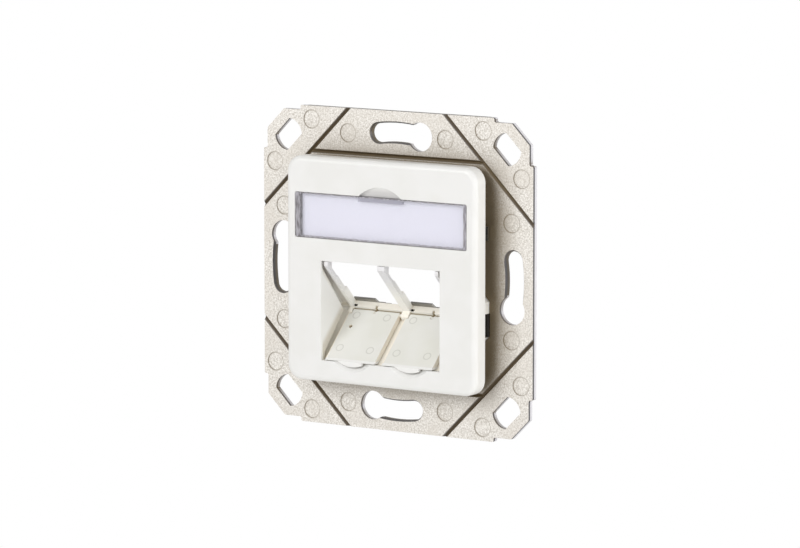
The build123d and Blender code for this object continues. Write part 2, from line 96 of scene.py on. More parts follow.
def add_node(tree, kind, links=None, values=None, **settings):
    """Adds a node; settings are its properties, values its sockets and links what feeds them.
    A socket goes by its name, or by its number where names repeat."""
    node = tree.nodes.new(kind)
    for name, value in settings.items():
        setattr(node, name, value)
    for socket, value in (values or {}).items():
        node.inputs[socket].default_value = value
    for socket, source in (links or {}).items():
        tree.links.new(source, node.inputs[socket])
    return node


def new_material(name):
    """An empty material with its tree and its Principled shader."""
    material = bpy.data.materials.new(name)
    material.use_nodes = True
    tree = material.node_tree
    tree.nodes.clear()
    shader = add_node(tree, "ShaderNodeBsdfPrincipled")
    add_node(tree, "ShaderNodeOutputMaterial", {"Surface": shader.outputs[0]})
    return material, tree, shader


def millimetres(tree):
    """Object coordinates in millimetres."""
    place = add_node(tree, "ShaderNodeTexCoord")
    return add_node(tree, "ShaderNodeVectorMath", {0: place.outputs["Object"]}, {"Scale": 1 / MM},
                    operation="SCALE").outputs[0]


def base_colour(material):
    """A finished material's tree, the socket of its base colour and what feeds that now."""
    tree = material.node_tree
    base = tree.nodes["Principled BSDF"].inputs["Base Color"]
    return tree, base, base.links[0].from_socket


# Die-cast zinc of the support frame

def groove_lines(tree, depth, across, up):
    """Where the break-off grooves run: close to their lines and below the front face."""
    reach = add_node(tree, "ShaderNodeMath", {0: across, 1: up}, operation="ADD")
    corner_line = add_node(tree, "ShaderNodeMath", {0: reach.outputs[0]},
                           {1: GROOVE_DIAGONAL, 2: GROOVE_WIDTH * 0.8}, operation="COMPARE")
    level_line = add_node(tree, "ShaderNodeMath", {0: up},
                          {1: CROSS_GROOVE, 2: GROOVE_WIDTH * 0.55}, operation="COMPARE")
    line = add_node(tree, "ShaderNodeMath", {0: corner_line.outputs[0], 1: level_line.outputs[0]},
                    operation="MAXIMUM")
    sunk = add_node(tree, "ShaderNodeMapRange", {"Value": depth},
                    {"From Min": 0.06 - FRAME_THICKNESS, "From Max": 0.2 - FRAME_THICKNESS})
    return add_node(tree, "ShaderNodeMath", {0: line.outputs[0], 1: sunk.outputs[0]},
                    operation="MULTIPLY").outputs[0]


def ejector_rings(tree, nearer, farther):
    """A fine ring at each ejector mark, in one eighth of the frame that the others mirror."""
    folded = add_node(tree, "ShaderNodeCombineXYZ", {0: nearer, 2: farther})
    rings = []
    for mark_across, mark_up in EJECTOR_MARKS:
        span = add_node(tree, "ShaderNodeVectorMath", {0: folded.outputs[0]},
                        {1: (mark_across, 0, mark_up)}, operation="DISTANCE")
        offset = add_node(tree, "ShaderNodeMath", {0: span.outputs["Value"]}, {1: EJECTOR_RADIUS},
                          operation="SUBTRACT")
        rings.append(add_node(tree, "ShaderNodeMath", {0: offset.outputs[0]}, operation="ABSOLUTE"))
    nearest = add_node(tree, "ShaderNodeMath", {0: rings[0].outputs[0], 1: rings[1].outputs[0]},
                       operation="MINIMUM")
    return add_node(tree, "ShaderNodeMapRange", {"Value": nearest.outputs[0]},
                    {"From Min": 0.22, "From Max": 0.05, "To Max": 0.5}).outputs[0]


def shaded_side_walls(tree, axes, across, nearer):
    """The side walls' colour: a painted dark line of shade behind the front edge, pale metal in the
    corner holes, in the heads of the slots and along both outer sides, and painted dark grey shade
    elsewhere."""
    outer = add_node(tree, "ShaderNodeMath", {0: across}, {1: OUTER_SIDES_FROM},
                     operation="GREATER_THAN")
    corner = add_node(tree, "ShaderNodeMath", {0: nearer}, {1: CORNER_HOLES_FROM},
                      operation="GREATER_THAN")
    pale = add_node(tree, "ShaderNodeMath", {0: outer.outputs[0], 1: corner.outputs[0]},
                    operation="MAXIMUM")
    flat = add_node(tree, "ShaderNodeCombineXYZ", {0: axes.outputs[0], 2: axes.outputs[2]})
    # One head in each quarter turn of the frame
    head_across, head_up = SLOT_HEAD
    for quarter in range(4):
        span = add_node(tree, "ShaderNodeVectorMath", {0: flat.outputs[0]},
                        {1: (head_across, 0, head_up)}, operation="DISTANCE")
        head = add_node(tree, "ShaderNodeMath", {0: span.outputs["Value"]}, {1: SLOT_HEAD_REACH},
                        operation="LESS_THAN")
        pale = add_node(tree, "ShaderNodeMath", {0: pale.outputs[0], 1: head.outputs[0]},
                        operation="MAXIMUM")
        head_across, head_up = -head_up, head_across
    wall_shade = add_node(tree, "ShaderNodeMix", {FACTOR: pale.outputs[0]},
                       {COLOUR_A: colour("#5E584E"), COLOUR_B: colour("#EBEAEF")}, data_type="RGBA")
    # Painted shade: a dark line just behind the front edge
    edge_shade_line = add_node(tree, "ShaderNodeMapRange", {"Value": axes.outputs[1]},
                    {"From Min": 0.75 - FRAME_THICKNESS, "From Max": 0.5 - FRAME_THICKNESS})
    return add_node(tree, "ShaderNodeMix", {FACTOR: edge_shade_line.outputs[0], COLOUR_A: wall_shade.outputs[MIXED]},
                    {COLOUR_B: colour("#505055")}, data_type="RGBA").outputs[MIXED]


def die_cast_zinc():
    """Die-cast zinc, tumbled: a matte beige-grey skin with a sandy grit of about 0.4 mm, grooves
    painted dark as their shade, a fine ring at each ejector mark, side walls pale in places and
    painted dark grey as shade elsewhere, and a painted brown shadow beside the plate."""
    material, tree, shader = new_material("die_cast_zinc")
    mm = millimetres(tree)
    normal = add_node(tree, "ShaderNodeTexCoord").outputs["Normal"]
    grit = add_node(tree, "ShaderNodeTexNoise", {"Vector": mm},
                    {"Scale": 2.6, "Detail": 3.0, "Roughness": 0.8})
    sand = add_node(tree, "ShaderNodeMapRange", {"Value": grit.outputs["Fac"]},
                    {"From Min": 0.38, "From Max": 0.62})
    skin = add_node(tree, "ShaderNodeMix", {FACTOR: sand.outputs[0]},
                    {COLOUR_A: colour("#C1BBB2"), COLOUR_B: colour("#F3F0EB")}, data_type="RGBA")
    cloud = add_node(tree, "ShaderNodeTexNoise", {"Vector": mm}, {"Scale": 0.16, "Detail": 2.0})
    patch = add_node(tree, "ShaderNodeMapRange", {"Value": cloud.outputs["Fac"]},
                     {"From Min": 0.42, "From Max": 0.62, "To Max": 0.4})
    mottled = add_node(tree, "ShaderNodeMix", {FACTOR: patch.outputs[0], COLOUR_A: skin.outputs[MIXED]},
                       {COLOUR_B: colour("#D6D0C7")}, data_type="RGBA")
    axes = add_node(tree, "ShaderNodeSeparateXYZ", {0: mm})
    across = add_node(tree, "ShaderNodeMath", {0: axes.outputs[0]}, operation="ABSOLUTE").outputs[0]
    up = add_node(tree, "ShaderNodeMath", {0: axes.outputs[2]}, operation="ABSOLUTE").outputs[0]
    nearer = add_node(tree, "ShaderNodeMath", {0: across, 1: up}, operation="MINIMUM").outputs[0]
    farther = add_node(tree, "ShaderNodeMath", {0: across, 1: up}, operation="MAXIMUM").outputs[0]
    # Grooves and rings show on the front only
    shallow = add_node(tree, "ShaderNodeMath", {0: axes.outputs[1]}, {1: RELIEF_BACK},
                       operation="LESS_THAN")
    # Painted shade: the grooves are painted dark brown below the front face
    groove = add_node(tree, "ShaderNodeMath", {0: groove_lines(tree, axes.outputs[1], across, up),
                                               1: shallow.outputs[0]}, operation="MULTIPLY")
    groove_shaded = add_node(tree, "ShaderNodeMix", {FACTOR: groove.outputs[0],
                                               COLOUR_A: mottled.outputs[MIXED]},
                       {COLOUR_B: colour("#6F614D")}, data_type="RGBA")
    mark = add_node(tree, "ShaderNodeMath", {0: ejector_rings(tree, nearer, farther),
                                             1: shallow.outputs[0]}, operation="MULTIPLY")
    marked = add_node(tree, "ShaderNodeMix", {FACTOR: mark.outputs[0], COLOUR_A: groove_shaded.outputs[MIXED]},
                      {COLOUR_B: colour("#A0978A")}, data_type="RGBA")
    facing = add_node(tree, "ShaderNodeSeparateXYZ", {0: normal})
    turned = add_node(tree, "ShaderNodeMath", {0: facing.outputs[1]}, operation="ABSOLUTE")
    side = add_node(tree, "ShaderNodeMapRange", {"Value": turned.outputs[0]},
                    {"From Min": 0.85, "From Max": 0.55, "To Max": 0.92})
    walled = add_node(tree, "ShaderNodeMix",
                      {FACTOR: side.outputs[0], COLOUR_A: marked.outputs[MIXED],
                       COLOUR_B: shaded_side_walls(tree, axes, across, nearer)}, data_type="RGBA")
    # Painted shadow: beside the plate the metal is painted brown where an occlusion test finds the
    #  plate over it. The normal leans left and a little down, so this painted shadow falls right of
    #  the plate and above it
    lean = add_node(tree, "ShaderNodeVectorMath", {0: normal}, {1: (-0.8, 0.0, -0.2)},
                    operation="ADD")
    plate_occlusion = add_node(tree, "ShaderNodeAmbientOcclusion", {"Normal": lean.outputs[0]},
                   {"Distance": PLATE_SHADE * MM}, samples=12)
    painted_plate_shadow = add_node(tree, "ShaderNodeMapRange", {"Value": plate_occlusion.outputs["AO"]},
                      {"From Min": 0.82, "From Max": 0.32, "To Max": 0.95})
    plate_shadowed = add_node(tree, "ShaderNodeMix", {FACTOR: painted_plate_shadow.outputs[0],
                                               COLOUR_A: walled.outputs[MIXED]},
                       {COLOUR_B: colour("#716248")}, data_type="RGBA")
    tree.links.new(plate_shadowed.outputs[MIXED], shader.inputs["Base Color"])
    shader.inputs["Metallic"].default_value = 0.6
    polish = add_node(tree, "ShaderNodeMapRange", {"Value": grit.outputs["Fac"]},
                      {"From Min": 0.3, "From Max": 0.7, "To Min": 0.42, "To Max": 0.6})
    tree.links.new(polish.outputs[0], shader.inputs["Roughness"])
    bump = add_node(tree, "ShaderNodeBump", {"Height": grit.outputs["Fac"]},
                    {"Strength": 0.6, "Distance": 0.08 * MM})
    tree.links.new(bump.outputs[0], shader.inputs["Normal"])
    return material


# Mouldings: plate, holder and flaps

def moulded_abs(name, pale, deep, edge, gap_shade, roughness):
    """Injection-moulded ABS: even and faintly clouded, with a fine spark-eroded skin of about
    0.15 mm that breaks the gloss, a painted light tone where the skin turns away from the front and
    the top, and a painted shade in its narrow gaps."""
    material, tree, shader = new_material(name)
    mm = millimetres(tree)
    cloud = add_node(tree, "ShaderNodeTexNoise", {"Vector": mm}, {"Scale": 0.12, "Detail": 2.0})
    patch = add_node(tree, "ShaderNodeMapRange", {"Value": cloud.outputs["Fac"]},
                     {"From Min": 0.4, "From Max": 0.6})
    tone = add_node(tree, "ShaderNodeMix", {FACTOR: patch.outputs[0]},
                    {COLOUR_A: colour(pale), COLOUR_B: colour(deep)}, data_type="RGBA")
    # Painted light: faces that turn away from the front and the top are painted in the edge tone
    normal = add_node(tree, "ShaderNodeTexCoord").outputs["Normal"]
    facing = add_node(tree, "ShaderNodeVectorMath", {0: normal}, {1: (0.0, -SLANT, SLANT)},
                      operation="DOT_PRODUCT")
    away = add_node(tree, "ShaderNodeMapRange", {"Value": facing.outputs["Value"]},
                    {"From Min": 0.6, "From Max": 0.1, "To Max": 0.7})
    painted_edge_light = add_node(tree, "ShaderNodeMix", {FACTOR: away.outputs[0], COLOUR_A: tone.outputs[MIXED]},
                     {COLOUR_B: colour(edge)}, data_type="RGBA")
    # Painted shade: narrow gaps, found by an occlusion test over 2 mm, are darkened to the gap shade
    # colour
    gap = add_node(tree, "ShaderNodeAmbientOcclusion", values={"Distance": NARROW_GAP * MM},
                   samples=8)
    narrow = add_node(tree, "ShaderNodeMapRange", {"Value": gap.outputs["AO"]},
                      {"From Min": 0.36, "From Max": 0.08, "To Max": 0.9})
    gap_shaded = add_node(tree, "ShaderNodeMix", {FACTOR: narrow.outputs[0], COLOUR_A: painted_edge_light.outputs[MIXED]},
                      {COLOUR_B: colour(gap_shade)}, data_type="RGBA")
    tree.links.new(gap_shaded.outputs[MIXED], shader.inputs["Base Color"])
    skin = add_node(tree, "ShaderNodeTexNoise", {"Vector": mm}, {"Scale": 6.0, "Detail": 2.0})
    gloss = add_node(tree, "ShaderNodeMapRange", {"Value": skin.outputs["Fac"]},
                     {"From Min": 0.3, "From Max": 0.7, "To Min": roughness - 0.04,
                      "To Max": roughness + 0.04})
    tree.links.new(gloss.outputs[0], shader.inputs["Roughness"])
    shader.inputs["IOR"].default_value = 1.53
    bump = add_node(tree, "ShaderNodeBump", {"Height": skin.outputs["Fac"]},
                    {"Strength": 0.12, "Distance": 0.03 * MM})
    tree.links.new(bump.outputs[0], shader.inputs["Normal"])
    return material


def recess_place(tree):
    """Place on the lower slope of the recess, in millimetres: X from the middle of the nearer port,
    Y down the slope from the vertex, Z out of it. Object axes follow as the second value."""
    axes = add_node(tree, "ShaderNodeSeparateXYZ", {0: millimetres(tree)})
    wrapped = add_node(tree, "ShaderNodeMath", {0: axes.outputs[0]}, {1: 0.0, 2: PORT_PITCH},
                       operation="WRAP")
    across = add_node(tree, "ShaderNodeMath", {0: wrapped.outputs[0]}, {1: PORT_PLACE},
                      operation="SUBTRACT")
    slope = add_node(tree, "ShaderNodeMath", {0: axes.outputs[1], 1: axes.outputs[2]},
                     operation="ADD")
    down = add_node(tree, "ShaderNodeMath", {0: slope.outputs[0]},
                    {1: -SLANT, 2: (VERTEX_Y + VERTEX_HEIGHT) * SLANT}, operation="MULTIPLY_ADD")
    lean = add_node(tree, "ShaderNodeMath", {0: axes.outputs[2], 1: axes.outputs[1]},
                    operation="SUBTRACT")
    out = add_node(tree, "ShaderNodeMath", {0: lean.outputs[0]},
                   {1: SLANT, 2: (VERTEX_Y - VERTEX_HEIGHT) * SLANT}, operation="MULTIPLY_ADD")
    spot = add_node(tree, "ShaderNodeCombineXYZ", {0: across.outputs[0], 1: down.outputs[0],
                                                   2: out.outputs[0]})
    return spot.outputs[0], axes


def flap_abs_marked():
    """The flaps' ABS: grey-white, with four faint ejector rings on the inner face, a painted highlight
    on each flap's left edge, and the tab painted as light as the plate."""
    material = moulded_abs("grey_white_abs", "#E8E8E3", "#E4E4DD", "#F1E9DB", "#BFA976", 0.45)
    tree, base, plain = base_colour(material)
    spot, axes = recess_place(tree)
    nearest = None
    for mark_across, mark_down in FLAP_MARKS:
        span = add_node(tree, "ShaderNodeVectorMath", {0: spot}, {1: (mark_across, mark_down, 0)},
                        operation="DISTANCE")
        offset = add_node(tree, "ShaderNodeMath", {0: span.outputs["Value"]},
                          {1: FLAP_MARK_RADIUS}, operation="SUBTRACT")
        ring = add_node(tree, "ShaderNodeMath", {0: offset.outputs[0]}, operation="ABSOLUTE")
        if nearest is None:
            nearest = ring.outputs[0]
        else:
            nearest = add_node(tree, "ShaderNodeMath", {0: nearest, 1: ring.outputs[0]},
                               operation="MINIMUM").outputs[0]
    mark = add_node(tree, "ShaderNodeMapRange", {"Value": nearest},
                    {"From Min": 0.2, "From Max": 0.05, "To Max": 0.35})
    marked = add_node(tree, "ShaderNodeMix", {FACTOR: mark.outputs[0], COLOUR_A: plain},
                      {COLOUR_B: colour("#A3A298")}, data_type="RGBA")
    # Painted highlight: the left edge of each flap is given a creamy light
    slope = add_node(tree, "ShaderNodeSeparateXYZ", {0: spot})
    left = add_node(tree, "ShaderNodeMapRange", {"Value": slope.outputs[0]},
                    {"From Min": FLAP_LEFT + 0.3, "From Max": FLAP_LEFT + 0.15})
    painted_edge_light = add_node(tree, "ShaderNodeMix", {FACTOR: left.outputs[0], COLOUR_A: marked.outputs[MIXED]},
                     {COLOUR_B: colour("#F8F0E0")}, data_type="RGBA")
    # Painted light: the tab is painted as light as the plate
    tab = add_node(tree, "ShaderNodeMapRange", {"Value": axes.outputs[2]},
                   {"From Min": TAB_TOP, "From Max": TAB_TOP - 0.1})
    tab_lit = add_node(tree, "ShaderNodeMix", {FACTOR: tab.outputs[0], COLOUR_A: painted_edge_light.outputs[MIXED]},
                      {COLOUR_B: colour("#EDEDEB")}, data_type="RGBA")
    tree.links.new(tab_lit.outputs[MIXED], base)
    return material


def plate_abs_shaded():
    """The plate's ABS: bright and faintly glossy, with painted shade that makes it greyer in the
    half-moon dish over the label and tan along the edges of the port opening's cheeks."""
    material = moulded_abs("white_abs_polished", "#EBEBEA", "#E8E8E6", "#FBFBF8", "#E6E4DE", 0.32)
    tree, base, plain = base_colour(material)
    spot, axes = recess_place(tree)
    # Painted shade: the half-moon dish over the label is painted greyer
    across = add_node(tree, "ShaderNodeMath", {0: axes.outputs[0]}, {1: 0.0, 2: NAIL_HALF},
                      operation="COMPARE")
    up = add_node(tree, "ShaderNodeMath", {0: axes.outputs[2]},
                  {1: LABEL_MIDDLE + LABEL_HALF_HEIGHT + 1.1, 2: 1.2}, operation="COMPARE")
    sunk = add_node(tree, "ShaderNodeMapRange", {"Value": axes.outputs[1]},
                    {"From Min": PLATE_FRONT + 0.08, "From Max": PLATE_FRONT + 0.5})
    area = add_node(tree, "ShaderNodeMath", {0: across.outputs[0], 1: up.outputs[0]},
                    operation="MULTIPLY")
    dish = add_node(tree, "ShaderNodeMath", {0: area.outputs[0], 1: sunk.outputs[0]},
                    operation="MULTIPLY")
    dish_shaded = add_node(tree, "ShaderNodeMix", {FACTOR: dish.outputs[0], COLOUR_A: plain},
                      {COLOUR_B: colour("#D2D1D0")}, data_type="RGBA")
    # Painted shade: each cheek goes tan along its two edges beside the recess
    slope = add_node(tree, "ShaderNodeSeparateXYZ", {0: spot})
    low_edge = add_node(tree, "ShaderNodeMath", {0: slope.outputs[2]}, {1: CHEEK_GAP_LOW},
                        operation="SUBTRACT")
    top_edge = add_node(tree, "ShaderNodeMath", {0: slope.outputs[1]}, {1: CHEEK_GAP_TOP},
                        operation="SUBTRACT")
    edge = add_node(tree, "ShaderNodeMath", {0: low_edge.outputs[0], 1: top_edge.outputs[0]},
                    operation="MINIMUM")
    near = add_node(tree, "ShaderNodeMapRange", {"Value": edge.outputs[0]},
                    {"From Min": 1.2, "From Max": 0.0, "To Max": 0.45})
    aside = add_node(tree, "ShaderNodeMath", {0: axes.outputs[0]}, operation="ABSOLUTE")
    cheek = add_node(tree, "ShaderNodeMath", {0: aside.outputs[0]},
                     {1: CHEEK_PLACE, 2: CHEEK_HALF}, operation="COMPARE")
    behind = add_node(tree, "ShaderNodeMath", {0: axes.outputs[1]}, {1: PLATE_FRONT + 0.6},
                      operation="GREATER_THAN")
    inner = add_node(tree, "ShaderNodeMath", {0: cheek.outputs[0], 1: behind.outputs[0]},
                     operation="MULTIPLY")
    level = add_node(tree, "ShaderNodeMath", {0: axes.outputs[2]},
                     {1: OPENING_MIDDLE, 2: OPENING_HALF_HEIGHT}, operation="COMPARE")
    within = add_node(tree, "ShaderNodeMath", {0: inner.outputs[0], 1: level.outputs[0]},
                      operation="MULTIPLY")
    cheek_edge_shade = add_node(tree, "ShaderNodeMath", {0: near.outputs[0], 1: within.outputs[0]},
                    operation="MULTIPLY")
    cheek_edge_shaded = add_node(tree, "ShaderNodeMix", {FACTOR: cheek_edge_shade.outputs[0], COLOUR_A: dish_shaded.outputs[MIXED]},
                      {COLOUR_B: colour("#B5A782")}, data_type="RGBA")
    tree.links.new(cheek_edge_shaded.outputs[MIXED], base)
    return material


def inside_sill_pocket(tree, spot):
    """Where a place is inside the pocket: an upright box that stops just under the sill's face."""
    offset = add_node(tree, "ShaderNodeVectorMath", {0: spot}, {1: SILL_POCKET},
                      operation="SUBTRACT")
    reach = add_node(tree, "ShaderNodeVectorMath", {0: offset.outputs[0]}, operation="ABSOLUTE")
    spare = add_node(tree, "ShaderNodeVectorMath", {1: reach.outputs[0]}, {0: SILL_POCKET_ROOM},
                     operation="SUBTRACT")
    room = add_node(tree, "ShaderNodeSeparateXYZ", {0: spare.outputs[0]})
    least = add_node(tree, "ShaderNodeMath", {0: room.outputs[0], 1: room.outputs[1]},
                     operation="MINIMUM")
    lowest = add_node(tree, "ShaderNodeMath", {0: least.outputs[0], 1: room.outputs[2]},
                      operation="MINIMUM")
    return add_node(tree, "ShaderNodeMath", {0: lowest.outputs[0]}, {1: 0.0},
                    operation="GREATER_THAN").outputs[0]


def holder_abs_shaded():
    """The holder's ABS: creamy on the sill and low on the webs, cooler at their tops, with painted shade
    that browns the outer webs towards the cheeks and is nearly black inside the small deep pocket at
    each sill's left end."""
    material = moulded_abs("white_abs_satin", "#F8F4EA", "#F5F0E5", "#F8F8F4", "#BFA976", 0.42)
    tree, base, plain = base_colour(material)
    spot, axes = recess_place(tree)
    high = add_node(tree, "ShaderNodeMapRange", {"Value": axes.outputs[2]},
                    {"From Min": -6.0, "From Max": -1.0, "To Max": 0.9})
    cooled = add_node(tree, "ShaderNodeMix", {FACTOR: high.outputs[0], COLOUR_A: plain},
                      {COLOUR_B: colour("#E6E6EA")}, data_type="RGBA")
    # Painted shade: the outer webs go brown towards the plate's cheeks, where little light comes in
    aside = add_node(tree, "ShaderNodeMath", {0: axes.outputs[0]}, operation="ABSOLUTE")
    deep = add_node(tree, "ShaderNodeMapRange", {"Value": aside.outputs[0]},
                    {"From Min": PORT_PITCH - 0.5, "From Max": PORT_PITCH + 0.4, "To Max": 0.3})
    beside = add_node(tree, "ShaderNodeMath", {0: aside.outputs[0]}, {1: PORT_PITCH + 2.3},
                      operation="LESS_THAN")
    slope = add_node(tree, "ShaderNodeSeparateXYZ", {0: spot})
    over = add_node(tree, "ShaderNodeMath", {0: slope.outputs[2]}, {1: WEB_OUT_FROM},
                    operation="GREATER_THAN")
    before = add_node(tree, "ShaderNodeMath", {0: slope.outputs[1]}, {1: WEB_DOWN_FROM},
                      operation="GREATER_THAN")
    open_side = add_node(tree, "ShaderNodeMath", {0: over.outputs[0], 1: before.outputs[0]},
                         operation="MULTIPLY")
    web = add_node(tree, "ShaderNodeMath", {0: beside.outputs[0], 1: open_side.outputs[0]},
                   operation="MULTIPLY")
    web_shade = add_node(tree, "ShaderNodeMath", {0: deep.outputs[0], 1: web.outputs[0]},
                   operation="MULTIPLY")
    web_shaded = add_node(tree, "ShaderNodeMix", {FACTOR: web_shade.outputs[0], COLOUR_A: cooled.outputs[MIXED]},
                      {COLOUR_B: colour("#A8976F")}, data_type="RGBA")
    # Painted shade: inside each sill pocket the colour is painted nearly black
    pocket_shaded = add_node(tree, "ShaderNodeMix", {FACTOR: inside_sill_pocket(tree, spot),
                                                COLOUR_A: web_shaded.outputs[MIXED]},
                        {COLOUR_B: colour("#1C1813")}, data_type="RGBA")
    tree.links.new(pocket_shaded.outputs[MIXED], base)
    return material


# Label cover and label

def clear_polystyrene():
    """Clear polystyrene, injection moulded: thin and glossy, faintly milky, and painted grey as shade at
    its ends and along its rim, over the dark gap and the hooks under it, in place of the paper."""
    material, tree, shader = new_material("clear_polystyrene")
    mm = millimetres(tree)
    axes = add_node(tree, "ShaderNodeSeparateXYZ", {0: mm})
    rise = add_node(tree, "ShaderNodeMath", {0: axes.outputs[2]}, {1: LABEL_MIDDLE},
                    operation="SUBTRACT")
    height = add_node(tree, "ShaderNodeMath", {0: rise.outputs[0]}, operation="ABSOLUTE")
    streak = add_node(tree, "ShaderNodeMapping", {"Vector": mm}, {"Scale": (2.2, 1.0, 0.45)})
    uneven = add_node(tree, "ShaderNodeTexNoise", {"Vector": streak.outputs[0]},
                      {"Scale": 1.0, "Detail": 2.0})
    waver = add_node(tree, "ShaderNodeMapRange", {"Value": uneven.outputs["Fac"]},
                     {"From Min": 0.3, "From Max": 0.7, "To Min": -0.12, "To Max": 0.12})
    rim_height = add_node(tree, "ShaderNodeMath", {0: height.outputs[0], 1: waver.outputs[0]},
                          operation="ADD")
    rim = add_node(tree, "ShaderNodeMapRange", {"Value": rim_height.outputs[0]},
                   {"From Min": LABEL_HALF_HEIGHT - 0.36, "From Max": LABEL_HALF_HEIGHT - 0.2})
    left_end = add_node(tree, "ShaderNodeMapRange", {"Value": axes.outputs[0]},
                        {"From Min": 1.45 - LABEL_HALF_WIDTH, "From Max": 1.3 - LABEL_HALF_WIDTH})
    right_end = add_node(tree, "ShaderNodeMapRange", {"Value": axes.outputs[0]},
                         {"From Min": LABEL_HALF_WIDTH - 0.85, "From Max": LABEL_HALF_WIDTH - 0.7})
    ends = add_node(tree, "ShaderNodeMath", {0: left_end.outputs[0], 1: right_end.outputs[0]},
                    operation="MAXIMUM")
    framed = add_node(tree, "ShaderNodeMath", {0: rim.outputs[0], 1: ends.outputs[0]},
                      operation="MAXIMUM")
    # The thinned lip for the fingernail
    lip_across = add_node(tree, "ShaderNodeMath", {0: axes.outputs[0]}, {1: 0.0, 2: NAIL_HALF},
                          operation="COMPARE")
    lip_up = add_node(tree, "ShaderNodeMapRange", {"Value": rise.outputs[0]},
                      {"From Min": LABEL_HALF_HEIGHT - 1.15, "From Max": LABEL_HALF_HEIGHT - 1.05})
    lip = add_node(tree, "ShaderNodeMath", {0: lip_across.outputs[0], 1: lip_up.outputs[0]},
                   operation="MULTIPLY")
    shade = add_node(tree, "ShaderNodeMapRange", {"Value": uneven.outputs["Fac"]},
                     {"From Min": 0.38, "From Max": 0.6})
    # Painted shade: the rim and ends are painted grey over the dark gap and the hooks beneath
    grey = add_node(tree, "ShaderNodeMix", {FACTOR: shade.outputs[0]},
                    {COLOUR_A: colour("#6F6A6E"), COLOUR_B: colour("#B4B2BA")}, data_type="RGBA")
    lipped = add_node(tree, "ShaderNodeMix", {FACTOR: lip.outputs[0]},
                      {COLOUR_A: colour("#F1F1F8"), COLOUR_B: colour("#AFAEBC")}, data_type="RGBA")
    tone = add_node(tree, "ShaderNodeMix", {FACTOR: framed.outputs[0],
                                            COLOUR_A: lipped.outputs[MIXED],
                                            COLOUR_B: grey.outputs[MIXED]}, data_type="RGBA")
    tree.links.new(tone.outputs[MIXED], shader.inputs["Base Color"])
    veil = add_node(tree, "ShaderNodeMapRange", {"Value": lip.outputs[0]},
                    {"To Min": 0.12, "To Max": 0.75})
    solid = add_node(tree, "ShaderNodeMath", {0: framed.outputs[0]}, {1: 0.9},
                     operation="MULTIPLY")
    cover = add_node(tree, "ShaderNodeMath", {0: veil.outputs[0], 1: solid.outputs[0]},
                     operation="MAXIMUM")
    tree.links.new(cover.outputs[0], shader.inputs["Alpha"])
    gloss = add_node(tree, "ShaderNodeMapRange", {"Value": uneven.outputs["Fac"]},
                     {"From Min": 0.3, "From Max": 0.7, "To Min": 0.08, "To Max": 0.16})
    tree.links.new(gloss.outputs[0], shader.inputs["Roughness"])
    shader.inputs["IOR"].default_value = 1.59
    return material


def label_paper():
    """Uncoated label paper: pale lavender, with soft cloudy fibres of about 0.7 mm."""
    material, tree, shader = new_material("uncoated_paper")
    fibre = add_node(tree, "ShaderNodeTexNoise", {"Vector": millimetres(tree)},
                     {"Scale": 1.4, "Detail": 4.0, "Roughness": 0.7})
    felt = add_node(tree, "ShaderNodeMapRange", {"Value": fibre.outputs["Fac"]},
                    {"From Min": 0.35, "From Max": 0.65})
    tone = add_node(tree, "ShaderNodeMix", {FACTOR: felt.outputs[0]},
                    {COLOUR_A: colour("#E6E6F4"), COLOUR_B: colour("#ECECF8")}, data_type="RGBA")
    tree.links.new(tone.outputs[MIXED], shader.inputs["Base Color"])
    shader.inputs["Roughness"].default_value = 0.85
    bump = add_node(tree, "ShaderNodeBump", {"Height": fibre.outputs["Fac"]},
                    {"Strength": 0.1, "Distance": 0.02 * MM})
    tree.links.new(bump.outputs[0], shader.inputs["Normal"])
    return material


# Sheet metal: ground spring, plate clips and frame catches

def rolled_spring_steel():
    """Spring steel, cold rolled: grey and shiny, with fine lines along the strip."""
    material, tree, shader = new_material("rolled_spring_steel")
    stretched = add_node(tree, "ShaderNodeMapping", {"Vector": millimetres(tree)},
                         {"Scale": (0.25, 8.0, 8.0)})
    line = add_node(tree, "ShaderNodeTexNoise", {"Vector": stretched.outputs[0]},
                    {"Scale": 1.0, "Detail": 2.0})
    drawn = add_node(tree, "ShaderNodeMapRange", {"Value": line.outputs["Fac"]},
                     {"From Min": 0.35, "From Max": 0.65})
    tone = add_node(tree, "ShaderNodeMix", {FACTOR: drawn.outputs[0]},
                    {COLOUR_A: colour("#7F7E7A"), COLOUR_B: colour("#A6A49F")}, data_type="RGBA")
    tree.links.new(tone.outputs[MIXED], shader.inputs["Base Color"])
    shader.inputs["Metallic"].default_value = 1.0
    gloss = add_node(tree, "ShaderNodeMapRange", {"Value": line.outputs["Fac"]},
                     {"From Min": 0.3, "From Max": 0.7, "To Min": 0.28, "To Max": 0.4})
    tree.links.new(gloss.outputs[0], shader.inputs["Roughness"])
    return material


def shade_black_spring_steel():
    """Spring steel painted dull and nearly black, as painted shade for the deep notch round each frame
    catch.
    """
    material, tree, shader = new_material("shade_black_spring_steel")
    scale = add_node(tree, "ShaderNodeTexNoise", {"Vector": millimetres(tree)},
                     {"Scale": 1.5, "Detail": 3.0})
    patch = add_node(tree, "ShaderNodeMapRange", {"Value": scale.outputs["Fac"]},
                     {"From Min": 0.35, "From Max": 0.65})
    tone = add_node(tree, "ShaderNodeMix", {FACTOR: patch.outputs[0]},
                    {COLOUR_A: colour("#1E1B18"), COLOUR_B: colour("#322E29")}, data_type="RGBA")
    tree.links.new(tone.outputs[MIXED], shader.inputs["Base Color"])
    shader.inputs["Metallic"].default_value = 0.6
    gloss = add_node(tree, "ShaderNodeMapRange", {"Value": scale.outputs["Fac"]},
                     {"From Min": 0.3, "From Max": 0.7, "To Min": 0.5, "To Max": 0.65})
    tree.links.new(gloss.outputs[0], shader.inputs["Roughness"])
    return material


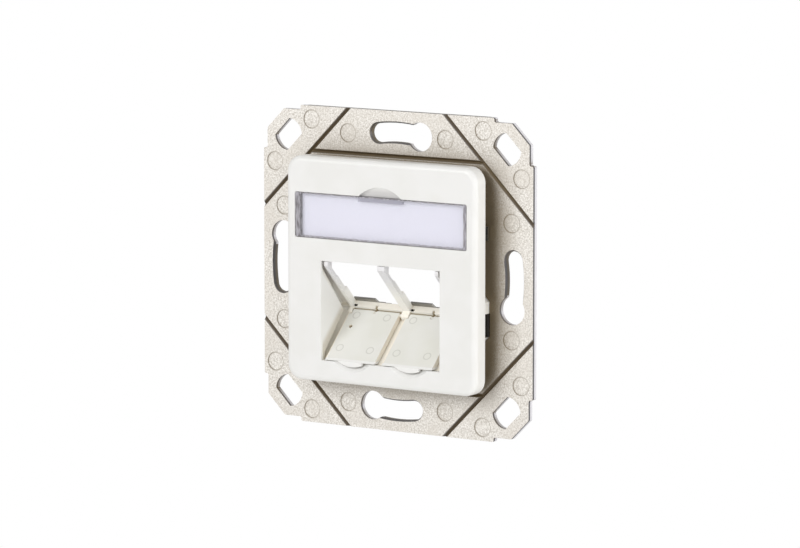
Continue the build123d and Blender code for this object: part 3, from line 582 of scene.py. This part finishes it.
# Pieces: the moulded and cast CAD solids with their edges softened as the mould leaves them, and the
#  sheet metal and paper with their materials only
MERGE_DISTANCE = 0.002
FLAT_WITHIN = math.radians(0.3)
SHARP_FROM = math.radians(38)


def finish_node(node_name, material):
    """Gives a CAD node its material."""
    materials = NODES[node_name].data.materials
    materials.clear()
    materials.append(material)


def near_ejector_mark(point):
    """Whether a point of the support frame lies on the shallow step round an ejector mark."""
    low, high = sorted((abs(point.x) / MM, abs(point.z) / MM))
    return any(math.hypot(low - across, high - up) < EJECTOR_RADIUS + 0.3
               for across, up in EJECTOR_MARKS)


def softened(node_name, piece_name, body, material, width):
    """A copy of a CAD node with its sharp edges rounded over this width in millimetres."""
    bm = bmesh.new()
    bm.from_mesh(NODES[node_name].data)
    bmesh.ops.remove_doubles(bm, verts=bm.verts, dist=MERGE_DISTANCE * MM)
    bmesh.ops.dissolve_limit(bm, angle_limit=FLAT_WITHIN, verts=bm.verts, edges=bm.edges)
    sharp = [edge for edge in bm.edges
             if len(edge.link_faces) == 2 and edge.calc_face_angle() > SHARP_FROM
             and not (node_name == "support_frame"
                      and near_ejector_mark((edge.verts[0].co + edge.verts[1].co) / 2))]
    bmesh.ops.bevel(bm, geom=sharp, offset=width * MM, offset_type="OFFSET", affect="EDGES",
                    segments=2, profile=0.5, material=-1, clamp_overlap=True)
    for face in bm.faces:
        face.smooth = True
    mesh = bpy.data.meshes.new(piece_name)
    bm.to_mesh(mesh)
    bm.free()
    mesh.materials.append(material)
    piece = bpy.data.objects.new(piece_name, mesh)
    bpy.context.scene.collection.objects.link(piece)
    weighted = piece.modifiers.new("weighted", "WEIGHTED_NORMAL")
    weighted.keep_sharp = True
    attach(piece, body)
    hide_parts(node_name)
    finish_node(node_name, material)


zinc = die_cast_zinc()
plate_abs = plate_abs_shaded()
holder_abs = holder_abs_shaded()
flap_abs = flap_abs_marked()
clear = clear_polystyrene()
paper = label_paper()
steel = rolled_spring_steel()
shade_black_steel = shade_black_spring_steel()

softened("support_frame", "frame_casting", "carrier", zinc, 0.14)
softened("cover_plate", "plate_moulding", "carrier", plate_abs, 0.12)
softened("module_holder", "holder_moulding", "carrier", holder_abs, 0.1)
softened("dust_flap_left", "flap_moulding_left", "left_flap", flap_abs, 0.06)
softened("dust_flap_right", "flap_moulding_right", "right_flap", flap_abs, 0.06)
softened("label_window", "label_cover", "carrier", clear, 0.1)
for node_name, material in (("label_strip", paper), ("ground_spring", steel),
                            ("plate_clip_left", steel), ("plate_clip_right", steel),
                            ("frame_catch_left", shade_black_steel), ("frame_catch_right", shade_black_steel)):
    finish_node(node_name, material)

# Camera, at the photograph's angle
AZIMUTH = math.radians(33.72)
ELEVATION = math.radians(7.72)
CAMERA_DISTANCE = 1.0556
VIEW_RIGHT = 0.84
VIEW_DOWN = 0.44
BACK = Vector((math.sin(AZIMUTH) * math.cos(ELEVATION), -math.cos(AZIMUTH) * math.cos(ELEVATION),
               math.sin(ELEVATION)))
RIGHT = Vector((math.cos(AZIMUTH), math.sin(AZIMUTH), 0))
UP = BACK.cross(RIGHT)
camera_data = bpy.data.cameras.new("camera")
camera_data.sensor_width = 36.0
camera_data.lens = 216.1
camera_data.clip_start = 0.05
camera_data.clip_end = 20.0
camera = bpy.data.objects.new("camera", camera_data)
bpy.context.scene.collection.objects.link(camera)
target = RIGHT * VIEW_RIGHT * MM - UP * VIEW_DOWN * MM + Vector((0, -FRAME_THICKNESS * MM, 0))
camera.matrix_world = Matrix.Translation(target + BACK * CAMERA_DISTANCE) @ \
    Matrix((RIGHT, UP, BACK)).transposed().to_4x4()
bpy.context.scene.camera = camera

# Floor, world and lamps, in metres
FLOOR_DROP = 0.15
FLOOR_HALF = 4.0


def seen_white(tree):
    """How far a ray is one that shows the plain white ground: the camera's, a reflection's or one
    through clear plastic."""
    path = add_node(tree, "ShaderNodeLightPath")
    straight = add_node(tree, "ShaderNodeMath", {0: path.outputs["Is Camera Ray"],
                                                 1: path.outputs["Is Transmission Ray"]},
                        operation="MAXIMUM")
    return add_node(tree, "ShaderNodeMath", {0: straight.outputs[0], 1: path.outputs["Is Glossy Ray"]},
                    operation="MAXIMUM").outputs[0]


def lamp(name, place, size, power):
    """A soft square lamp that looks at the object."""
    data = bpy.data.lights.new(name, "AREA")
    data.size = size
    data.energy = power
    light = bpy.data.objects.new(name, data)
    bpy.context.scene.collection.objects.link(light)
    light.location = place
    light.rotation_mode = "QUATERNION"
    light.rotation_quaternion = (-Vector(place)).to_track_quat("-Z", "Y")


bm = bmesh.new()
bmesh.ops.create_grid(bm, x_segments=2, y_segments=2, size=FLOOR_HALF)
bmesh.ops.translate(bm, verts=bm.verts, vec=(0, 0, -FLOOR_DROP))
floor_mesh = bpy.data.meshes.new("floor")
bm.to_mesh(floor_mesh)
bm.free()
floor = bpy.data.objects.new("floor", floor_mesh)
bpy.context.scene.collection.objects.link(floor)
floor_material, tree, shader = new_material("pale_floor")
shader.inputs["Base Color"].default_value = colour("#F4F4F4")
shader.inputs["Roughness"].default_value = 0.9
white = add_node(tree, "ShaderNodeEmission", values={"Color": (1, 1, 1, 1), "Strength": 1.0})
shown = add_node(tree, "ShaderNodeMixShader", {0: seen_white(tree), 1: shader.outputs[0],
                                               2: white.outputs[0]})
tree.links.new(shown.outputs[0], tree.nodes["Material Output"].inputs["Surface"])
floor_mesh.materials.append(floor_material)

world = bpy.data.worlds.new("studio")
world.use_nodes = True
tree = world.node_tree
tree.nodes.clear()
sky = add_node(tree, "ShaderNodeBackground", values={"Color": colour("#FFFCF7"), "Strength": 0.4})
white = add_node(tree, "ShaderNodeBackground", values={"Color": (1, 1, 1, 1), "Strength": 1.0})
shown = add_node(tree, "ShaderNodeMixShader", {0: seen_white(tree), 1: sky.outputs[0],
                                               2: white.outputs[0]})
add_node(tree, "ShaderNodeOutputWorld", {"Surface": shown.outputs[0]})
bpy.context.scene.world = world

lamp("key", place=(-0.45, -1.2, 0.75), size=0.8, power=9.0)
lamp("fill", place=(0.9, -1.1, 0.2), size=1.0, power=6.0)
lamp("side", place=(1.2, -0.02, 0.15), size=0.5, power=4.0)

bpy.context.scene.view_settings.view_transform = "Standard"
